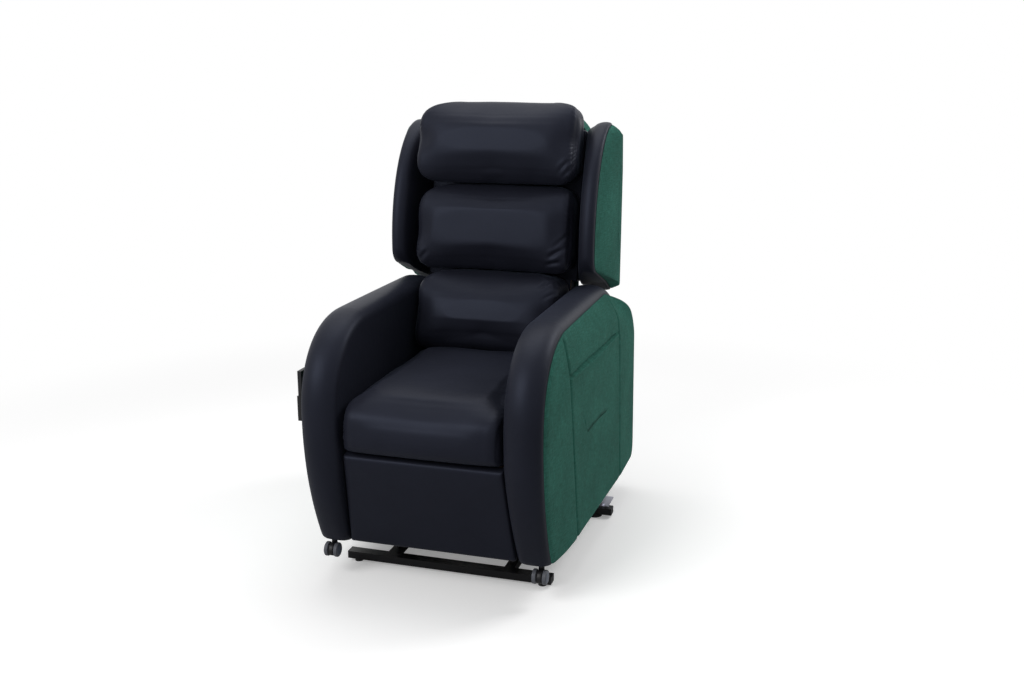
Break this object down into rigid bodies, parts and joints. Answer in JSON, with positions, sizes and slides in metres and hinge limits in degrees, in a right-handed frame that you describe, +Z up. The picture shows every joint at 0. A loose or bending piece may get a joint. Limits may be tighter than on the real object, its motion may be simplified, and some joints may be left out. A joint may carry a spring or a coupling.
{
  "type": "lift recliner chair",
  "caption": "Powered lift and recline armchair: black faux-leather seat, arms and bustle-back pillows with winged back, green fabric sides, padded footrest, lifting base on the floor.",
  "frame": {"origin": "on the floor, on the mid-plane, below the middle of the chair", "axes": "+Z up, -Y to the front where the footrest is, +X to the sitter's left"},
  "size_m": [0.696, 0.96, 1.192],
  "materials": {
    "black_vinyl": "smooth black faux leather, low sheen",
    "green_fabric": "woven green upholstery fabric",
    "black_steel": "satin black powder coat",
    "grey_plate": "grey zinc-look plate",
    "bright_rod": "bright drawn rod",
    "spring_wire": "plain spring steel",
    "frame_wood": "birch plywood and beech rail",
    "black_rubber": "matt moulded rubber",
    "black_plastic": "matt moulded black plastic",
    "grey_plastic": "matt mid-grey plastic"
  },
  "bodies": {
    "base": {"base_front_tube": "black_steel", "base_rear_tube": "black_steel", "base_rails": "black_steel", "tube_end_caps": "black_plastic", "base_feet": "black_rubber", "rear_floor_plates": "grey_plate", "lift_brackets": "black_steel"},
    "rear_links": {"rear_lift_links": "black_steel", "lift_torque_tube": "black_steel"},
    "front_links": {"front_lift_links": "black_steel"},
    "lift_motor_body": {"lift_motor": "black_plastic"},
    "lift_rod_body": {"lift_rod": "bright_rod"},
    "chassis": {"mechanism_plates": "black_steel", "mechanism_cross_tubes": "black_steel", "seat_side_rails": "frame_wood", "seat_cross_rails": "frame_wood", "seat_springs": "spring_wire", "seat_cushion": "black_vinyl", "left_arm_frame": "frame_wood", "right_arm_frame": "frame_wood", "left_arm_pad": "black_vinyl", "right_arm_pad": "black_vinyl", "left_arm_side": "green_fabric", "right_arm_side": "green_fabric", "rear_cover": "green_fabric", "control_box": "black_plastic", "handset_holder": "black_plastic", "leg_motor": "black_plastic"},
    "leg_arm_pair": {"leg_arms": "black_steel", "leg_torque_tube": "black_steel"},
    "leg_control_pair": {"leg_control_links": "black_steel"},
    "leg_carrier_pair": {"leg_carriers": "black_steel"},
    "leg_follower_pair": {"leg_follower_links": "black_steel"},
    "leg_rod_body": {"leg_rod": "bright_rod"},
    "footrest": {"footrest_board": "frame_wood", "footrest_pad": "black_vinyl"},
    "back": {"back_frame": "frame_wood", "back_shell": "green_fabric", "left_wing": "black_vinyl", "right_wing": "black_vinyl", "left_wing_side": "green_fabric", "right_wing_side": "green_fabric", "head_pillow": "black_vinyl", "middle_pillow": "black_vinyl", "lumbar_pillow": "black_vinyl"},
    "back_motor_body": {"back_motor": "black_plastic"},
    "back_rod_body": {"back_rod": "bright_rod"},
    "front_left_castor_fork": {"front_left_castor_hood": "black_plastic"},
    "front_left_castor_roller": {"front_left_castor_wheels": "grey_plastic"},
    "front_right_castor_fork": {"front_right_castor_hood": "black_plastic"},
    "front_right_castor_roller": {"front_right_castor_wheels": "grey_plastic"},
    "rear_left_castor_fork": {"rear_left_castor_hood": "black_plastic"},
    "rear_left_castor_roller": {"rear_left_castor_wheels": "grey_plastic"},
    "rear_right_castor_fork": {"rear_right_castor_hood": "black_plastic"},
    "rear_right_castor_roller": {"rear_right_castor_wheels": "grey_plastic"},
    "handset_case": {"handset": "black_plastic"},
    "lift_key": {"lift_rocker": "grey_plastic"},
    "leg_key": {"leg_rocker": "grey_plastic"},
    "back_key": {"back_rocker": "grey_plastic"}
  },
  "joints": [
    {"name": "lift", "type": "hinge", "parent": "base", "child": "rear_links", "pos_m": [0, -0.12, 0.085], "axis": [1, 0, 0], "range_deg": [0, 54]},
    {"name": "seat_tilt", "type": "hinge", "parent": "rear_links", "child": "chassis", "pos_m": [0, 0.19, 0.075], "axis": [1, 0, 0], "range_deg": [-38.6, 0]},
    {"name": "front_link_swing", "type": "hinge", "parent": "base", "child": "front_links", "pos_m": [0, -0.198, 0.084], "axis": [1, 0, 0], "range_deg": [0, 59]},
    {"name": "lift_motor_swing", "type": "hinge", "parent": "base", "child": "lift_motor_body", "pos_m": [0, 0.21, 0.052], "axis": [1, 0, 0], "range_deg": [0, 1]},
    {"name": "lift_rod_travel", "type": "slide", "parent": "lift_motor_body", "child": "lift_rod_body", "axis": [0, -0.9764, 0.2159], "range_m": [0, 0.037]},
    {"name": "recline", "type": "hinge", "parent": "chassis", "child": "back", "pos_m": [0, 0.22, 0.42], "axis": [-1, 0, 0], "range_deg": [0, 38]},
    {"name": "back_motor_swing", "type": "hinge", "parent": "chassis", "child": "back_motor_body", "pos_m": [-0.06, -0.18, 0.255], "axis": [1, 0, 0], "range_deg": [0, 1.6]},
    {"name": "back_rod_travel", "type": "slide", "parent": "back_motor_body", "child": "back_rod_body", "axis": [0, 0.9754, 0.2206], "range_m": [-0.047, 0]},
    {"name": "legrest", "type": "hinge", "parent": "chassis", "child": "leg_arm_pair", "pos_m": [0, -0.291, 0.33], "axis": [-1, 0, 0], "range_deg": [0, 96]},
    {"name": "leg_carrier_swing", "type": "hinge", "parent": "leg_arm_pair", "child": "leg_carrier_pair", "pos_m": [0, -0.142, 0.15], "axis": [-1, 0, 0], "range_deg": [-96, 0]},
    {"name": "footrest_swing", "type": "hinge", "parent": "leg_carrier_pair", "child": "footrest", "pos_m": [0, -0.332, 0.2], "axis": [-1, 0, 0], "range_deg": [0, 96]},
    {"name": "leg_control_swing", "type": "hinge", "parent": "chassis", "child": "leg_control_pair", "pos_m": [0, -0.231, 0.314], "axis": [-1, 0, 0], "range_deg": [0, 96]},
    {"name": "leg_follower_swing", "type": "hinge", "parent": "leg_arm_pair", "child": "leg_follower_pair", "pos_m": [0, -0.1726, 0.187], "axis": [-1, 0, 0], "range_deg": [-96, 0]},
    {"name": "leg_rod_travel", "type": "slide", "parent": "chassis", "child": "leg_rod_body", "axis": [0, -1, 0], "range_m": [0, 0.083]},
    {"name": "front_left_castor_swivel", "type": "hinge", "parent": "chassis", "child": "front_left_castor_fork", "pos_m": [0.278, -0.36, 0.114], "axis": [0, 0, 1], "continuous": true},
    {"name": "front_left_castor_roll", "type": "hinge", "parent": "front_left_castor_fork", "child": "front_left_castor_roller", "pos_m": [0.278, -0.372, 0.076], "axis": [1, 0, 0], "continuous": true},
    {"name": "front_right_castor_swivel", "type": "hinge", "parent": "chassis", "child": "front_right_castor_fork", "pos_m": [-0.278, -0.36, 0.114], "axis": [0, 0, 1], "continuous": true},
    {"name": "front_right_castor_roll", "type": "hinge", "parent": "front_right_castor_fork", "child": "front_right_castor_roller", "pos_m": [-0.278, -0.372, 0.076], "axis": [1, 0, 0], "continuous": true},
    {"name": "rear_left_castor_swivel", "type": "hinge", "parent": "chassis", "child": "rear_left_castor_fork", "pos_m": [0.278, 0.36, 0.114], "axis": [0, 0, 1], "continuous": true},
    {"name": "rear_left_castor_roll", "type": "hinge", "parent": "rear_left_castor_fork", "child": "rear_left_castor_roller", "pos_m": [0.278, 0.348, 0.076], "axis": [1, 0, 0], "continuous": true},
    {"name": "rear_right_castor_swivel", "type": "hinge", "parent": "chassis", "child": "rear_right_castor_fork", "pos_m": [-0.278, 0.36, 0.114], "axis": [0, 0, 1], "continuous": true},
    {"name": "rear_right_castor_roll", "type": "hinge", "parent": "rear_right_castor_fork", "child": "rear_right_castor_roller", "pos_m": [-0.278, 0.348, 0.076], "axis": [1, 0, 0], "continuous": true},
    {"name": "handset_lift_out", "type": "slide", "parent": "chassis", "child": "handset_case", "axis": [0, 0, 1], "range_m": [0, 0.12]},
    {"name": "lift_rocker_tilt", "type": "hinge", "parent": "handset_case", "child": "lift_key", "pos_m": [-0.33087, -0.39, 0.47], "axis": [0, 1, 0], "range_deg": [-6, 6], "stiffness_Nm_per_rad": 0.3},
    {"name": "leg_rocker_tilt", "type": "hinge", "parent": "handset_case", "child": "leg_key", "pos_m": [-0.33087, -0.39, 0.5], "axis": [0, 1, 0], "range_deg": [-6, 6], "stiffness_Nm_per_rad": 0.3},
    {"name": "back_rocker_tilt", "type": "hinge", "parent": "handset_case", "child": "back_key", "pos_m": [-0.33087, -0.39, 0.53], "axis": [0, 1, 0], "range_deg": [-6, 6], "stiffness_Nm_per_rad": 0.3}
  ],
  "couplings": [
    {"joint": "seat_tilt", "follows": "lift", "ratio": -0.71162},
    {"joint": "front_link_swing", "follows": "lift", "ratio": 1.0894},
    {"joint": "lift_motor_swing", "follows": "lift", "ratio": 0.01584},
    {"joint": "lift_rod_travel", "follows": "lift", "m_per_rad": 0.038506},
    {"joint": "back_motor_swing", "follows": "recline", "ratio": 0.03942},
    {"joint": "back_rod_travel", "follows": "recline", "m_per_rad": -0.069555},
    {"joint": "leg_carrier_swing", "follows": "legrest", "ratio": -1},
    {"joint": "footrest_swing", "follows": "legrest", "ratio": 1},
    {"joint": "leg_control_swing", "follows": "legrest", "ratio": 1},
    {"joint": "leg_follower_swing", "follows": "legrest", "ratio": -1},
    {"joint": "leg_rod_travel", "follows": "legrest", "m_per_rad": 0.04894}
  ]
}
